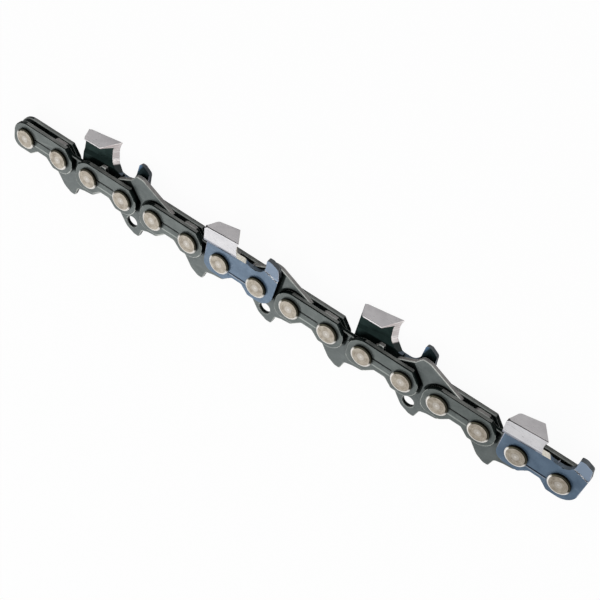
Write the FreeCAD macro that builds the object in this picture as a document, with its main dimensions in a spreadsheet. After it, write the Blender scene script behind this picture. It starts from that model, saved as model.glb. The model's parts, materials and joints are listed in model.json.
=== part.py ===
import FreeCAD, Part
import math
import os
import Sketcher

# A straight stretch of low-profile saw chain, lying on its side.
#
# Frame of the finished model, in millimetres:
#   +X  the way the chain runs, each depth gauge ahead of its cutting edge
#   +Y  from the drive tangs towards the cutters
#   +Z  along the rivets, towards the near plates
# The origin lies under the middle of the stretch, on the surface it rests on.
#
# Each kind of piece is drawn once, in a frame of its own:
#   x = 0 halfway between its two rivets, y = 0 on the rivet line, z = 0 on the chain's middle plane
# Outer links are numbered from the rear, and so are the drive links between them.

OUTER_LINKS = 8
NEAR_CUTTERS = (3, 7)
FAR_CUTTERS = (1, 5)
BUMPERS = (1, 3, 5)

SIZES = [
    ("outer_span", 9.85, "rivet to rivet in an outer link"),
    ("drive_span", 8.79, "rivet to rivet in a drive link"),
    ("drive_thickness", 1.1, "sheet of a drive link, the chain's gauge"),
    ("plate_thickness", 1.05, "sheet of the straps and cutters"),
    ("side_gap", 0.05, "running gap between a drive link and each plate"),
    ("hub_diameter", 4.6, "middle of a rivet, on which a drive link turns"),
    ("hub_clearance", 0.03, "radial play of a drive link on a hub"),
    ("journal_diameter", 3.6, "neck of a rivet, fast in both plates"),
    ("head_base_diameter", 5.0, "spun rivet head at its foot"),
    ("head_brow_diameter", 5.1, "spun rivet head where its rim starts to slope in"),
    ("head_brow_height", 0.5, "height of that edge above the plate"),
    ("head_face_diameter", 4.3, "flat face of a rivet head"),
    ("head_height", 0.68, "rivet head above its plate"),
    ("strap_top", 3.85, "top edge of a strap above the rivet line"),
    ("strap_drop", 3.95, "lobes of a plate below the rivet line"),
    ("strap_rear_reach", 3.85, "strap behind its rear rivet"),
    ("strap_crown_radius", 3.8, "upper rear corner of a strap"),
    ("strap_heel_radius", 2.2, "lower rear corner of a strap"),
    ("strap_front_reach", 3.75, "strap ahead of its front rivet"),
    ("strap_toe_radius", 3.7, "lower front corner of a plate"),
    ("strap_nose_height", 1.05, "height where the front edge starts to lean back"),
    ("strap_nose_radius", 1.6, "round of that corner"),
    ("strap_brow_reach", 1.5, "top front corner ahead of the front rivet"),
    ("corner_round", 0.35, "small rounds on stamped corners"),
    ("waist_height", 2.15, "flat of the waist below the rivet line"),
    ("waist_rear", 1.55, "rear end of the waist, behind the middle"),
    ("waist_front", 1.1, "front end of the waist, ahead of the middle"),
    ("waist_ramp", 2.0, "length of the slope from the waist to a lobe"),
    ("waist_round", 0.8, "rounds at both ends of such a slope"),
    ("crease_front", 2.2, "front end of the pressed groove"),
    ("crease_rear", 2.5, "rear end of the pressed groove"),
    ("crease_top", 0.6, "upper edge of the groove above the rivet line"),
    ("crease_foot", 0.35, "bottom of the groove above the rivet line"),
    ("crease_low", 0.9, "lower edge of the groove below the rivet line"),
    ("crease_depth", 0.2, "depth of the groove"),
    ("cutter_crease_drop", 1.75, "how much lower a cutter's groove lies"),
    ("tang_depth", 8.95, "sole of a tang below the rivet line"),
    ("tang_tip", 0.1, "tip of a tang behind the link's middle"),
    ("tang_tip_radius", 0.45, "round of the tip"),
    ("tang_sole", 1.35, "rear end of the sole behind the link's middle"),
    ("tang_heel_depth", 5.1, "upper end of the tang's rear edge"),
    ("tang_heel", 5.6, "that point behind the link's middle"),
    ("tang_belly_depth", 7.9, "middle of the tang's rear edge"),
    ("tang_belly", 3.35, "that point behind the link's middle"),
    ("tang_belly_radius", 6.0, "curve of the rear edge"),
    ("notch_depth", 6.5, "hook in front of the tang"),
    ("notch_front", 0.65, "that hook ahead of the link's middle"),
    ("notch_radius", 0.9, "round in the hook"),
    ("bumper_hook_shift", 0.35, "how much further forward a bumper link's tang is hooked"),
    ("lobe_start_depth", 5.95, "front lobe where it leaves the hook"),
    ("lobe_start", 2.6, "that point ahead of the link's middle"),
    ("lobe_depth", 5.65, "front end of that lobe"),
    ("lobe_end", 4.9, "that point ahead of the link's middle"),
    ("lobe_radius", 1.2, "rounds of the lobe"),
    ("drive_front_drop", 2.2, "lower end of the upright front edge"),
    ("drive_front_radius", 2.2, "round of that corner"),
    ("drive_front_reach", 4.1, "drive link ahead of its front rivet"),
    ("drive_rear_reach", 3.1, "drive link behind its rear rivet"),
    ("drive_rear_drop", 2.2, "lower end of the upright rear edge"),
    ("drive_top", 3.55, "rear corner of a drive link above the rivet line"),
    ("drive_ear", 2.2, "inner end of an ear, from its rivet towards the middle"),
    ("drive_dip", 1.85, "saddle of a plain drive link above the rivet line"),
    ("ear_radius", 1.2, "outer round of an ear"),
    ("dip_radius", 1.5, "rounds of the saddle"),
    ("horn_height", 4.35, "front horn of a plain drive link above the rivet line"),
    ("horn_front", 3.45, "front face of the horn ahead of the front rivet"),
    ("horn_rear", 2.4, "rear face of the horn ahead of the front rivet"),
    ("horn_foot", 2.9, "foot of the horn above the rivet line"),
    ("hole_diameter", 2.8, "oil hole in the tang of a bumper link"),
    ("hole_back", 1.97, "that hole behind the link's middle"),
    ("hole_depth", 5.82, "that hole below the rivet line"),
    ("ramp_top", 7.6, "crest of the bumper above the rivet line"),
    ("ramp_crest_front", 0.35, "front end of the crest behind the middle"),
    ("ramp_crest_rear", 2.2, "rear end of the crest behind the middle"),
    ("ramp_crest_radius", 0.9, "rear round of the crest"),
    ("ramp_foot", 3.5, "foot of the bumper's rear face behind the middle"),
    ("ramp_foot_height", 5.7, "height of that foot"),
    ("ramp_nose_height", 3.3, "front end of the ramp"),
    ("ramp_slope_radius", 3.0, "round between crest and slope"),
    ("cutter_height", 10.22, "cutting corner above the rivet line"),
    ("corner_back", 0.3, "cutting corner behind the link's middle"),
    ("corner_side", 3.48, "cutting corner from the middle plane, half the kerf"),
    ("top_relief", 7.8, "angle by which the top plate falls to the rear"),
    ("side_relief", 2.9, "angle by which the side falls in to the rear"),
    ("filing_angle", 29.8, "angle of the cutting edge across the chain"),
    ("rear_edge_angle", 20.0, "angle of a cutter's rear edge across the chain"),
    ("rear_lean", 2.0, "angle by which that edge leans forward above the bend"),
    ("rear_corner_radius", 1.4, "round of the top plate's inner rear corner"),
    ("rear_corner_run", 6.0, "forward end of the cut that rounds this corner"),
    ("top_inner", 1.1, "inner edge of the top plate past the middle plane, at the cutting corner"),
    ("inner_relief", 5.3, "angle by which that inner edge falls in to the rear"),
    ("top_fall", 0.3, "how much lower the top plate lies at its inner edge"),
    ("top_edge_thickness", 0.4, "top plate at its inner edge"),
    ("top_root_thickness", 1.2, "top plate at the side plate"),
    ("side_thickness", 1.45, "top of the side plate, across the chain"),
    ("bend_height", 4.15, "bend of the side plate above the rivet line, under the cutting corner"),
    ("bend_slope", 3.5, "angle by which the bend falls to the rear"),
    ("bend_lean", 42.0, "angle by which the side plate leans out above its bend"),
    ("shoulder_drop", 0.45, "side plate above its second bend, from there out to the corner"),
    ("blank_reach", 3.2, "unground top plate ahead of the cutting corner"),
    ("blank_tail", 0.9, "top plate behind the foot of the rear edge, before that edge is cut"),
    ("corner_chamfer", 0.22, "bevel between side and top plate"),
    ("tail_bevel", 1.25, "height of that bevel at the end of the tail"),
    ("tail_bevel_start", 8.8, "where it starts to grow, behind the link's middle"),
    ("cutter_rear_reach", 4.2, "cutter behind its rear rivet"),
    ("cutter_heel_radius", 2.4, "lower rear corner of a cutter"),
    ("cutter_front_reach", 3.92, "foot of a cutter ahead of its front rivet"),
    ("cutter_front_lean", 4.9, "angle by which its front edge leans forward"),
    ("gullet_height", 4.1, "floor of the gullet above the rivet line"),
    ("gullet_end", 4.9, "front end of the gullet floor"),
    ("gullet_round", 2.0, "round from the floor up to the depth gauge"),
    ("hook_depth", 0.42, "hollow of the ground face behind the cutting corner"),
    ("hook_drop", 1.9, "deepest point of that hollow below the corner"),
    ("hook_radius", 3.5, "round of the hollow"),
    ("face_run", 0.1, "foot of the ground face ahead of the corner"),
    ("face_foot", 5.5, "height of that foot"),
    ("face_round", 0.9, "round at the foot of the ground face"),
    ("apron_run", 3.1, "where the slope ahead of it meets the gullet floor"),
    ("face_clear", 3.9, "front end of the stone's cut at the gullet floor"),
    ("face_clear_top", 5.8, "front end of the stone's cut above the cutter"),
    ("depth_setting", 0.65, "depth gauge below the cutting corner"),
    ("gauge_fold", 5.5, "height of the fold under the depth gauge"),
    ("gauge_lean", 9.5, "angle by which the gauge leans out"),
    ("gauge_rear", 5.85, "rear foot of the gauge ahead of the middle"),
    ("gauge_neck", 6.2, "rear edge of the gauge above its foot"),
    ("gauge_neck_height", 1.3, "where that edge turns upright above the fold"),
    ("gauge_tip_rear", 6.35, "rear end of the gauge's tip"),
    ("gauge_tip_front", 7.5, "front end of the gauge's tip"),
    ("gauge_tip_radius", 0.45, "rear round of the tip"),
    ("gauge_brow_drop", 1.0, "front shoulder below the tip"),
    ("gauge_brow", 9.3, "front shoulder ahead of the middle"),
    ("gauge_brow_radius", 1.0, "round of that shoulder"),
]

doc = FreeCAD.newDocument("saw_chain")
sheet = doc.addObject("Spreadsheet::Sheet", "Sizes")
for row, (alias, value, meaning) in enumerate(SIZES, start=1):
    sheet.set(f"A{row}", alias)
    sheet.set(f"B{row}", str(value))
    sheet.set(f"C{row}", meaning)
    sheet.setAlias(f"B{row}", alias)
doc.recompute()


def cells(text):
    """The expression with each alias written as a cell of the sheet."""
    aliases = {alias for alias, value, meaning in SIZES}
    word = ""
    out = ""
    for letter in text + " ":
        if letter.isalnum() or letter == "_":
            word += letter
            continue
        out += ("Sizes." + word if word in aliases else word) + letter
        word = ""
    return out.strip()


def number(text):
    """What an expression of aliases comes to now."""
    result = sheet.evalExpression(cells(text))
    return float(getattr(result, "Value", result))


# Expressions that several pieces share
PITCH = "(outer_span + drive_span)"
INNER_FACE = "(drive_thickness / 2 + side_gap)"
OUTER_FACE = "(drive_thickness / 2 + side_gap + plate_thickness)"
HALF_OUTER = "(outer_span / 2)"
HALF_DRIVE = "(drive_span / 2)"


def new_body(name):
    return doc.addObject("PartDesign::Body", name)


def new_sketch(body, name, role, offset="0", turn_axis=None, turn="0", lift="0", along="0"):
    """A sketch on one of the body's own planes, moved along the plane's normal by offset."""
    sketch = body.newObject("Sketcher::SketchObject", name)
    plane = next(item for item in body.Origin.OriginFeatures if item.Role == role)
    sketch.AttachmentSupport = (plane, [""])
    sketch.MapMode = "FlatFace"
    sketch.setExpression("AttachmentOffset.Base.x", cells(along))
    sketch.setExpression("AttachmentOffset.Base.y", cells(lift))
    sketch.setExpression("AttachmentOffset.Base.z", cells(offset))
    if turn_axis is not None:
        sketch.AttachmentOffset = FreeCAD.Placement(FreeCAD.Vector(), FreeCAD.Rotation(turn_axis, 1))
        sketch.setExpression("AttachmentOffset.Rotation.Angle", cells(turn))
    return sketch


def bind(sketch, constraint, text):
    index = sketch.addConstraint(constraint)
    sketch.setExpression(f"Constraints[{index}]", cells(text))


def bind_point(sketch, geometry, vertex, x_text, y_text):
    """Hold a vertex of the sketch at a place given by two expressions."""
    for kind, text in (("DistanceX", x_text), ("DistanceY", y_text)):
        bind(sketch, Sketcher.Constraint(kind, -1, 1, geometry, vertex, number(text)), text)


def draw_hole(sketch, x_text, y_text, diameter_text):
    centre = FreeCAD.Vector(number(x_text), number(y_text), 0)
    ring = sketch.addGeometry(Part.Circle(centre, FreeCAD.Vector(0, 0, 1), number(diameter_text) / 2), False)
    bind(sketch, Sketcher.Constraint("Diameter", ring, number(diameter_text)), diameter_text)
    bind_point(sketch, ring, 3, x_text, y_text)


def draw_outline(sketch, corners):
    """A closed outline, anticlockwise, from corners (x, y, radius). A radius of None is a sharp corner.

    A rounded corner keeps its sharp point as construction, held on both of its sides.
    """
    points = [FreeCAD.Vector(number(x), number(y), 0) for x, y, radius in corners]
    count = len(corners)
    starts, ends, arcs = {}, {}, {}
    for i, (x, y, radius) in enumerate(corners):
        point = points[i]
        if radius is None:
            ends[i - 1 if i else count - 1] = point
            starts[i] = point
            continue
        size = number(radius)
        back = (points[i - 1] - point).normalize()
        ahead = (points[(i + 1) % count] - point).normalize()
        half = back.getAngle(ahead) / 2
        reach = size / math.tan(half)
        centre = point + (back + ahead).normalize() * (size / math.sin(half))
        first = point + back * reach
        last = point + ahead * reach
        turns_left = (ahead.cross(back)).z > 0
        low, high = (first, last) if turns_left else (last, first)
        angles = [math.atan2(p.y - centre.y, p.x - centre.x) for p in (low, high)]
        circle = Part.Circle(centre, FreeCAD.Vector(0, 0, 1), size)
        arcs[i] = (Part.ArcOfCircle(circle, angles[0], angles[1]), turns_left)
        ends[i - 1 if i else count - 1] = first
        starts[i] = last
    sides = [sketch.addGeometry(Part.LineSegment(starts[i], ends[i]), False) for i in range(count)]
    for i, (x, y, radius) in enumerate(corners):
        before = sides[i - 1]
        after = sides[i]
        if radius is None:
            sketch.addConstraint(Sketcher.Constraint("Coincident", before, 2, after, 1))
            bind_point(sketch, after, 1, x, y)
            continue
        shape, turns_left = arcs[i]
        arc = sketch.addGeometry(shape, False)
        near_end, far_end = (1, 2) if turns_left else (2, 1)
        sketch.addConstraint(Sketcher.Constraint("Tangent", before, 2, arc, near_end))
        sketch.addConstraint(Sketcher.Constraint("Tangent", arc, far_end, after, 1))
        bind(sketch, Sketcher.Constraint("Radius", arc, number(radius)), radius)
        sharp = sketch.addGeometry(Part.Point(points[i]), True)
        sketch.addConstraint(Sketcher.Constraint("PointOnObject", sharp, 1, before))
        sketch.addConstraint(Sketcher.Constraint("PointOnObject", sharp, 1, after))
        bind_point(sketch, sharp, 1, x, y)


def pad(body, sketch, name, length, midplane=False):
    feature = body.newObject("PartDesign::Pad", name)
    feature.Profile = sketch
    feature.setExpression("Length", cells(length))
    feature.Midplane = midplane
    return feature


def pocket(body, sketch, name, length):
    """Cut both ways from the sketch, by half of the length each."""
    before = body.Shape.Volume
    feature = body.newObject("PartDesign::Pocket", name)
    feature.Profile = sketch
    feature.setExpression("Length", cells(length))
    feature.Midplane = True
    doc.recompute()
    if body.Shape.Volume >= before - 1e-6:
        raise RuntimeError(f"{name} cuts nothing from {body.Name}")
    return feature


def rivet_holes(sketch, half_span, diameter):
    for side in ("-", ""):
        draw_hole(sketch, side + half_span, "0", diameter)


# The lobes and the waist, which straps and cutters share, from the rear lobe to the front one
WAIST = [
    ("-(waist_rear + waist_ramp)", "-strap_drop", "waist_round"),
    ("-waist_rear", "-waist_height", "waist_round"),
    ("waist_front", "-waist_height", "waist_round"),
    ("waist_front + waist_ramp", "-strap_drop", "waist_round"),
]


def press_groove(body, drop):
    """The shallow groove that is pressed into a plate's outer face between its rivets."""
    sketch = new_sketch(body, body.Name + "_groove", "YZ_Plane", offset="(crease_front - crease_rear) / 2")
    draw_outline(sketch, [
        (f"-crease_low - {drop}", OUTER_FACE, None),
        (f"crease_foot - {drop}", OUTER_FACE + " - crease_depth", None),
        (f"crease_top - {drop}", OUTER_FACE, None),
        (f"crease_foot - {drop}", OUTER_FACE + " + crease_depth", None),
    ])
    pocket(body, sketch, body.Name + "_groove_cut", "crease_front + crease_rear")


def make_strap():
    """A tie strap: one stamped plate with a straight top, two lobes and a waist."""
    body = new_body("strap")
    sketch = new_sketch(body, "strap_outline", "XY_Plane", offset=INNER_FACE)
    draw_outline(sketch, [
        (f"-({HALF_OUTER} + strap_rear_reach)", "strap_top", "strap_crown_radius"),
        (f"-({HALF_OUTER} + strap_rear_reach)", "-strap_drop", "strap_heel_radius"),
        *WAIST,
        (f"{HALF_OUTER} + strap_front_reach", "-strap_drop", "strap_toe_radius"),
        (f"{HALF_OUTER} + strap_front_reach", "strap_nose_height", "strap_nose_radius"),
        (f"{HALF_OUTER} + strap_brow_reach", "strap_top", "corner_round"),
    ])
    rivet_holes(sketch, HALF_OUTER, "journal_diameter")
    pad(body, sketch, "strap_sheet", "plate_thickness")
    doc.recompute()
    press_groove(body, "0")
    return body


def front_edge(height):
    """x of a cutter's leaning front edge at a height above the rivet line."""
    foot = f"({HALF_OUTER} + cutter_front_reach)"
    return f"{foot} + ({height} + strap_drop) * tan(cutter_front_lean)"


def bend(where):
    """Height of a cutter's first bend at one place along the chain."""
    return f"(bend_height + (({where}) + corner_back) * tan(bend_slope))"


def cutter_section(body, name, where, bevel):
    """The section across a cutter above its first bend, at one place along the chain.

    Both relief angles start from the cutting corner, so a section behind it is lower and narrower.
    """
    ahead = f"(({where}) + corner_back)"
    top = f"(cutter_height + {ahead} * tan(top_relief))"
    side = f"(corner_side + {ahead} * tan(side_relief))"
    inner = f"(-top_inner - {ahead} * tan(inner_relief))"
    shoulder = f"({side} - shoulder_drop)"
    inner_shoulder = f"({side} - shoulder_drop - side_thickness)"
    inner_bend = f"({bend(where)} + plate_thickness * tan(bend_lean / 2))"
    sketch = new_sketch(body, name, "YZ_Plane", offset=where)
    draw_outline(sketch, [
        (bend(where), INNER_FACE, None),
        (inner_bend, INNER_FACE, None),
        (f"{inner_bend} + ({inner_shoulder} - {INNER_FACE}) / tan(bend_lean)", inner_shoulder, None),
        (f"{top} - top_root_thickness", f"{side} - side_thickness", None),
        (f"{top} - top_fall - top_edge_thickness", inner, None),
        (f"{top} - top_fall", inner, None),
        (top, f"{side} - {bevel} / 2", None),
        (f"{top} - {bevel}", side, None),
        (f"{bend(where)} + ({shoulder} - {OUTER_FACE}) / tan(bend_lean)", shoulder, None),
        (bend(where), OUTER_FACE, None),
    ])
    return sketch


def make_cutter():
    """A cutter: a stamped plate whose upper part leans out and folds over into the top plate."""
    body = new_body("cutter")
    rear = f"-({HALF_OUTER} + cutter_rear_reach)"
    blank_rear = f"({rear} - blank_tail)"
    blank_end = "(blank_reach - corner_back)"
    sketch = new_sketch(body, "cutter_outline", "XY_Plane", offset=INNER_FACE)
    draw_outline(sketch, [
        (rear, bend(rear), None),
        (rear, "-strap_drop", "cutter_heel_radius"),
        *WAIST,
        (front_edge("-strap_drop"), "-strap_drop", "strap_toe_radius"),
        (front_edge("gauge_fold"), "gauge_fold", None),
        ("gauge_rear", "gauge_fold", None),
        ("gullet_end", "gullet_height", "gullet_round"),
        (blank_end, "gullet_height", None),
        (blank_end, bend(blank_end), None),
    ])
    rivet_holes(sketch, HALF_OUTER, "journal_diameter")
    pad(body, sketch, "cutter_sheet", "plate_thickness")
    doc.recompute()
    press_groove(body, "cutter_crease_drop")

    fold = FreeCAD.Vector(1, 0, 0)
    sketch = new_sketch(body, "gauge_outline", "XY_Plane", INNER_FACE, fold, "gauge_lean", "gauge_fold")
    tip = "((cutter_height - depth_setting - gauge_fold) / cos(gauge_lean))"
    draw_outline(sketch, [
        ("gauge_rear", "-corner_round", None),
        (front_edge("gauge_fold"), "-corner_round", None),
        (front_edge("gauge_fold"), "corner_round", "corner_round"),
        ("gauge_brow", f"{tip} - gauge_brow_drop", "gauge_brow_radius"),
        ("gauge_tip_front", tip, "corner_round"),
        ("gauge_tip_rear", tip, "gauge_tip_radius"),
        ("gauge_neck", "gauge_neck_height", "gullet_round"),
        ("gauge_rear", "0", None),
    ])
    pad(body, sketch, "gauge_sheet", "plate_thickness")
    doc.recompute()

    sections = [
        cutter_section(body, "section_rear", blank_rear, "tail_bevel"),
        cutter_section(body, "section_tail", "(-tail_bevel_start)", "corner_chamfer"),
        cutter_section(body, "section_front", blank_end, "corner_chamfer"),
    ]
    blank = body.newObject("PartDesign::AdditiveLoft", "cutter_blank")
    blank.Profile = sections[0]
    blank.Sections = sections[1:]
    blank.Ruled = True
    doc.recompute()

    # The stone runs along the cutting edge, so the ground face is drawn square to that edge
    run = FreeCAD.Vector(0, 1, 0)
    sketch = new_sketch(
        body, "ground_face", "XY_Plane", "corner_side", run, "filing_angle", "0", "-corner_back"
    )
    above = "(cutter_height + plate_thickness)"
    draw_outline(sketch, [
        ("hook_depth * plate_thickness / hook_drop", above, None),
        ("-hook_depth", "cutter_height - hook_drop", "hook_radius"),
        ("face_run", "face_foot", "face_round"),
        ("apron_run", "gullet_height", "face_round"),
        ("face_clear", "gullet_height", None),
        ("face_clear_top", above, None),
    ])
    pocket(body, sketch, "ground_face_cut", "4 * corner_side")

    # The rear edge leans forward, and it slopes forward across the chain too
    sketch = new_sketch(
        body, "rear_edge", "XZ_Plane", "-" + bend(rear), run, "-rear_lean", "0", rear
    )
    beyond = "-2 * plate_thickness"
    inner = f"(top_inner + ({rear} + corner_back) * tan(inner_relief))"
    draw_outline(sketch, [
        (f"({OUTER_FACE} - corner_side) * tan(rear_edge_angle)", "corner_side", None),
        (beyond, "corner_side", None),
        (beyond, "-2 * top_inner", None),
        ("rear_corner_run", "-2 * top_inner", None),
        (f"({OUTER_FACE} + {inner}) * tan(rear_edge_angle)", f"-{inner}", "rear_corner_radius"),
    ])
    pocket(body, sketch, "rear_edge_cut", "2 * cutter_height")
    return body


def drive_outline(body, top, hook_shift):
    """The outline of a drive link with its holes. The top edge, from front to rear, is given."""
    rear = f"-({HALF_DRIVE} + drive_rear_reach)"
    front = f"({HALF_DRIVE} + drive_front_reach)"
    sketch = new_sketch(body, body.Name + "_outline", "XY_Plane")
    draw_outline(sketch, [
        (rear, "-drive_rear_drop", "ear_radius"),
        ("-tang_heel", "-tang_heel_depth", "tang_belly_radius"),
        ("-tang_belly", "-tang_belly_depth", "tang_belly_radius / 2"),
        (f"{hook_shift} - tang_sole", "-tang_depth", "tang_belly_radius / 4"),
        (f"{hook_shift} - tang_tip", "-tang_depth", "tang_tip_radius"),
        (f"{hook_shift} + notch_front", "-notch_depth", "notch_radius"),
        ("lobe_start", "-lobe_start_depth", "lobe_radius"),
        ("lobe_end", "-lobe_depth", "lobe_radius"),
        (front, "-drive_front_drop", "drive_front_radius"),
        *top,
    ])
    rivet_holes(sketch, HALF_DRIVE, "(hub_diameter + 2 * hub_clearance)")
    return sketch


def make_drive_link():
    """A plain drive link: two ears round its rivets and a hooked tang below."""
    body = new_body("drive_link")
    sketch = drive_outline(body, [
        (f"{HALF_DRIVE} + drive_front_reach", "0", "ear_radius"),
        (f"{HALF_DRIVE} + horn_front", "horn_height", "corner_round"),
        (f"{HALF_DRIVE} + horn_rear", "horn_height", "corner_round"),
        (f"{HALF_DRIVE} + horn_rear / 2", "horn_foot", "dip_radius"),
        (f"{HALF_DRIVE} - drive_ear", "drive_dip", "dip_radius"),
        (f"-({HALF_DRIVE} - drive_ear)", "drive_dip", "dip_radius"),
        (f"-({HALF_DRIVE} - drive_ear + drive_top - drive_dip)", "drive_top", "corner_round"),
        (f"-({HALF_DRIVE} + drive_rear_reach)", "drive_top", "ear_radius"),
    ], "0")
    pad(body, sketch, "drive_link_sheet", "drive_thickness", midplane=True)
    return body


def make_bumper_link():
    """A drive link that rises into a ramp ahead of the depth gauge behind it."""
    body = new_body("bumper_link")
    sketch = drive_outline(body, [
        (f"{HALF_DRIVE} + drive_front_reach", "ramp_nose_height", "corner_round"),
        ("-ramp_crest_front", "ramp_top", "ramp_slope_radius"),
        ("-ramp_crest_rear", "ramp_top", "ramp_crest_radius"),
        ("-ramp_foot", "ramp_foot_height", "corner_round"),
        (f"-({HALF_DRIVE} + drive_rear_reach)", "drive_top", "ear_radius"),
    ], "bumper_hook_shift")
    draw_hole(sketch, "-hole_back", "-hole_depth", "hole_diameter")
    pad(body, sketch, "bumper_link_sheet", "drive_thickness", midplane=True)
    return body


def make_rivet():
    """A rivet turned about its axis: a wide hub, a neck through each plate and two spun heads."""
    body = new_body("rivet")
    sketch = new_sketch(body, "rivet_profile", "XZ_Plane")
    upper = [
        ("hub_diameter / 2", INNER_FACE),
        ("journal_diameter / 2", INNER_FACE),
        ("journal_diameter / 2", OUTER_FACE),
        ("head_base_diameter / 2", OUTER_FACE),
        ("head_brow_diameter / 2", OUTER_FACE + " + head_brow_height"),
        ("head_face_diameter / 2", OUTER_FACE + " + head_height"),
        ("0", OUTER_FACE + " + head_height"),
    ]
    lower = [(x, f"-({z})") for x, z in reversed(upper)]
    draw_outline(sketch, [(x, z, None) for x, z in lower + upper])
    turned = body.newObject("PartDesign::Revolution", "rivet_turned")
    turned.Profile = sketch
    turned.ReferenceAxis = (sketch, ["V_Axis"])
    turned.Angle = 360
    return body


def check_state():
    for item in doc.Objects:
        if "Invalid" in item.State or "Error" in item.State:
            raise RuntimeError(f"{item.Name} is {item.State}")


strap = make_strap()
cutter = make_cutter()
drive_link = make_drive_link()
bumper_link = make_bumper_link()
rivet = make_rivet()
doc.recompute()
check_state()

# Where the middle drive link's middle lies in the frame of the finished model
LAST = OUTER_LINKS - 1
FRONT_END = f"({LAST / 2} * {PITCH} + {front_edge('gauge_fold')})"
REAR_END = f"({LAST / 2} * {PITCH} + {HALF_OUTER} + strap_rear_reach)"
MIDDLE = (f"({REAR_END} - {FRONT_END}) / 2", "(tang_depth - cutter_height) / 2", "corner_side")

sub_parts = []


def settle(piece, label, shift):
    """Name a sub-part and put it in its place along the chain."""
    piece.Label = label
    for axis, text in zip("xyz", (f"{MIDDLE[0]} + {shift}", MIDDLE[1], MIDDLE[2])):
        piece.setExpression(f"Placement.Base.{axis}", cells(text))
    sub_parts.append(piece)


def near_copy(master, label, shift):
    """A piece as it is drawn."""
    piece = doc.addObject("PartDesign::Body", "near_" + label)
    piece.BaseFeature = master
    settle(piece, label, shift)


def far_copy(master, label, shift):
    """The opposite hand of a piece, on the far side of the chain."""
    piece = doc.addObject("Part::Mirroring", "far_" + label)
    piece.Source = master
    piece.Normal = FreeCAD.Vector(0, 0, 1)
    settle(piece, label, shift)


for link in range(OUTER_LINKS):
    middle = f"({link - LAST / 2}) * {PITCH}"
    near_kind, far_kind = "strap", "strap"
    if link in NEAR_CUTTERS:
        near_kind = "cutter"
    if link in FAR_CUTTERS:
        far_kind = "cutter"
    masters = {"strap": strap, "cutter": cutter}
    near_copy(masters[near_kind], f"near_{near_kind}_{link + 1}", middle)
    far_copy(masters[far_kind], f"far_{far_kind}_{link + 1}", middle)
    near_copy(rivet, f"rivet_{2 * link + 1}", f"{middle} - {HALF_OUTER}")
    near_copy(rivet, f"rivet_{2 * link + 2}", f"{middle} + {HALF_OUTER}")

for link in range(OUTER_LINKS - 1):
    middle = f"({link + 1 - OUTER_LINKS / 2}) * {PITCH}"
    if link in BUMPERS:
        near_copy(bumper_link, f"bumper_link_{link + 1}", middle)
    else:
        near_copy(drive_link, f"drive_link_{link + 1}", middle)

doc.recompute()
check_state()
for piece in sub_parts:
    if piece.Shape.isNull() or not piece.Shape.isValid() or len(piece.Shape.Solids) != 1:
        raise RuntimeError(f"{piece.Label} is not one valid solid")

os.makedirs("parts", exist_ok=True)
for piece in sub_parts:
    piece.Shape.exportStep(f"parts/{piece.Label}.step")
    print(piece.Label, round(piece.Shape.Volume, 3), "cubic mm")
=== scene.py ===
# %% [markdown]
# # A stretch of saw chain
# The chain lies on its side on a pale floor, seen from in front and above. It is made of stamped
# and blued plates, hooked drive links, bright spun rivets and four cutters with plated tops.
# The solids come from the CAD model. Here they get rounded edges and their finishes, and each piece
# rides on its own link, so that the chain can still bend at its rivets.

# %% Load the frame
import json
import math

import bmesh
import bpy
import numpy as np
from mathutils import Matrix, Vector

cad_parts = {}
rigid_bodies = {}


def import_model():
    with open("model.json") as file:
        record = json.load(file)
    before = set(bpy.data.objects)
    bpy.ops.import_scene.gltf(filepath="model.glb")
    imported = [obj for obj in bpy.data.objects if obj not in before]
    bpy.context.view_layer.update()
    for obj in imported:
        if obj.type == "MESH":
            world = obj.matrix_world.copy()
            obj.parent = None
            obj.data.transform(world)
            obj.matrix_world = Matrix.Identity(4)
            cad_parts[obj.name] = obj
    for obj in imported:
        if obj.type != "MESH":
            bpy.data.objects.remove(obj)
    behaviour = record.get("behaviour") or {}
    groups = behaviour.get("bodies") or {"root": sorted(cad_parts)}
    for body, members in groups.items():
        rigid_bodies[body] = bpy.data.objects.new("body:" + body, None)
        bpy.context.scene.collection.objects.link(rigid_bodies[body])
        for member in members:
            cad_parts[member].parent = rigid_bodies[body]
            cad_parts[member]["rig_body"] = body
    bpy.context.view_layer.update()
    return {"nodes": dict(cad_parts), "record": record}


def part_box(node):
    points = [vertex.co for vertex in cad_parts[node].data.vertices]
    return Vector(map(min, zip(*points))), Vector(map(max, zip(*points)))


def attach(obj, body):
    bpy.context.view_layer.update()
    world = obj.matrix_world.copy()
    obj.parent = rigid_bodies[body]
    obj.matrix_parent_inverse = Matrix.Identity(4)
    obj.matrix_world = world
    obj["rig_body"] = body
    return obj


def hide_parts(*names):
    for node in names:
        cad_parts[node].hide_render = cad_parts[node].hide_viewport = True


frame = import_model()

MM = 0.001
nodes = frame["nodes"]
bodies = frame["record"]["behaviour"]["bodies"]
body_of = {node: body for body, members in bodies.items() for node in members}

# %% [markdown]
# Every link is described in a frame of its own: x along the chain from its middle, y up from the
# rivet line, z out from the chain's middle plane. The rivets say where those middles are, so no
# place has to be typed in. Colours that change over a cutter are laid out in this frame.

# %% Find each link's own middle
def middle_of(node):
    """The middle of a node's box, as an array."""
    low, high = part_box(node)
    return (np.array(low) + np.array(high)) / 2


RIVETS = sorted((n for n in nodes if n.startswith("rivet_")), key=lambda n: int(n.split("_")[1]))
rivet_place = {n: middle_of(n) for n in RIVETS}


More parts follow.
